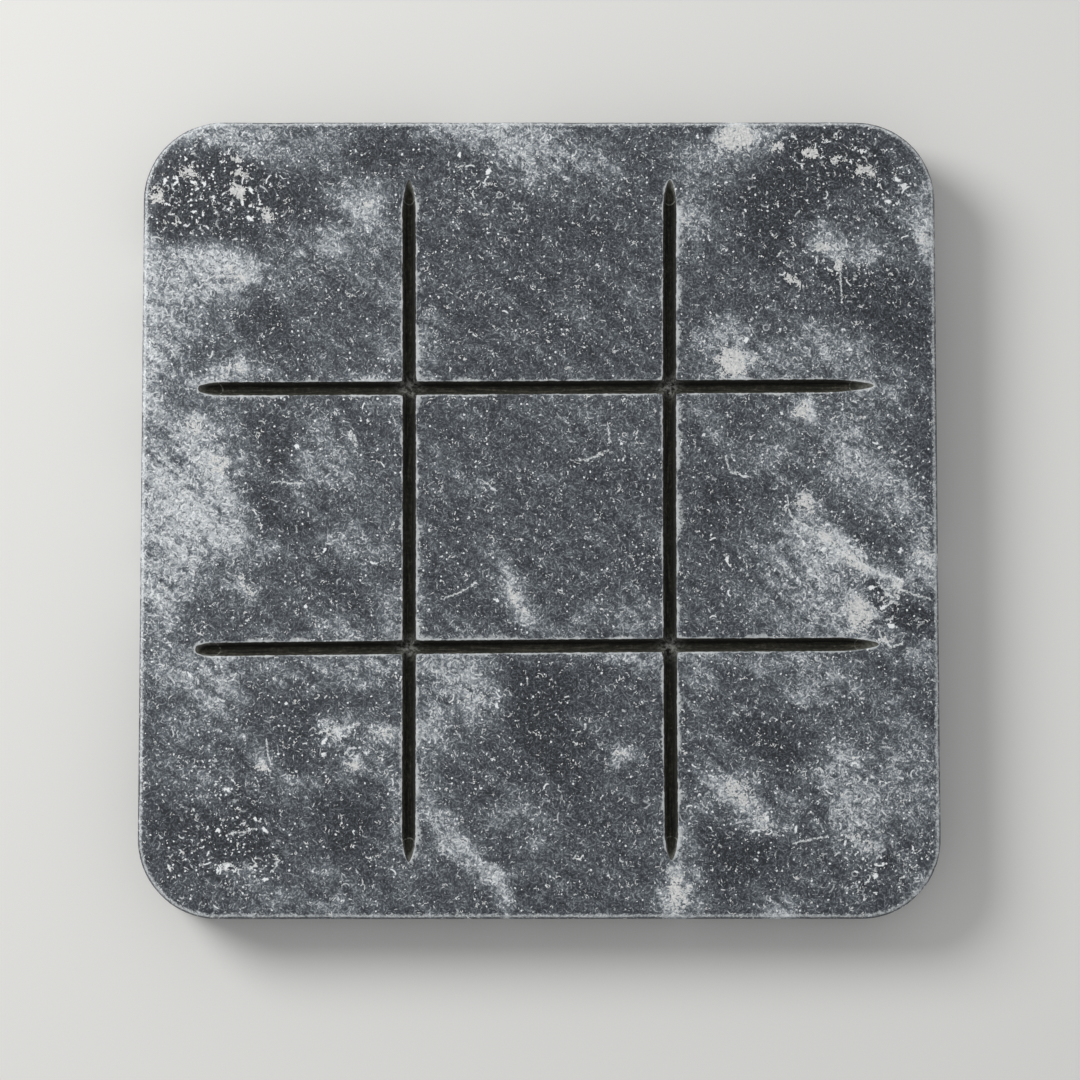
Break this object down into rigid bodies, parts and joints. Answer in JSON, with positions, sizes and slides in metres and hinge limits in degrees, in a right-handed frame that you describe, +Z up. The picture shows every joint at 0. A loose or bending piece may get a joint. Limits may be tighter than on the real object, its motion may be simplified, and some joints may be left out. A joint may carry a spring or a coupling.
{
  "type": "tic-tac-toe board",
  "caption": "Square dark marble game board with round corners, tumbled edges and a grid of ground grooves in its face, resting on round stick-on rubber feet.",
  "frame": {"origin": "on the table, under the middle of the board, level with the soles of the feet", "axes": "+Z up, out of the grid face; +Y towards the back edge, which is the upper edge when the board stands on show; +X to the right"},
  "size_m": [0.25, 0.251, 0.0232],
  "materials": {
    "marble": "tumbled and satin-matt, dark blue-grey with pale clouds and short white flecks; the ground grooves are brown-black with bruised white rims",
    "foot_rubber": "matt black moulded rubber"
  },
  "bodies": {
    "root": {"board_slab": "marble", "rubber_foot_front_left": "foot_rubber", "rubber_foot_front_right": "foot_rubber", "rubber_foot_back_left": "foot_rubber", "rubber_foot_back_right": "foot_rubber"}
  },
  "joints": []
}
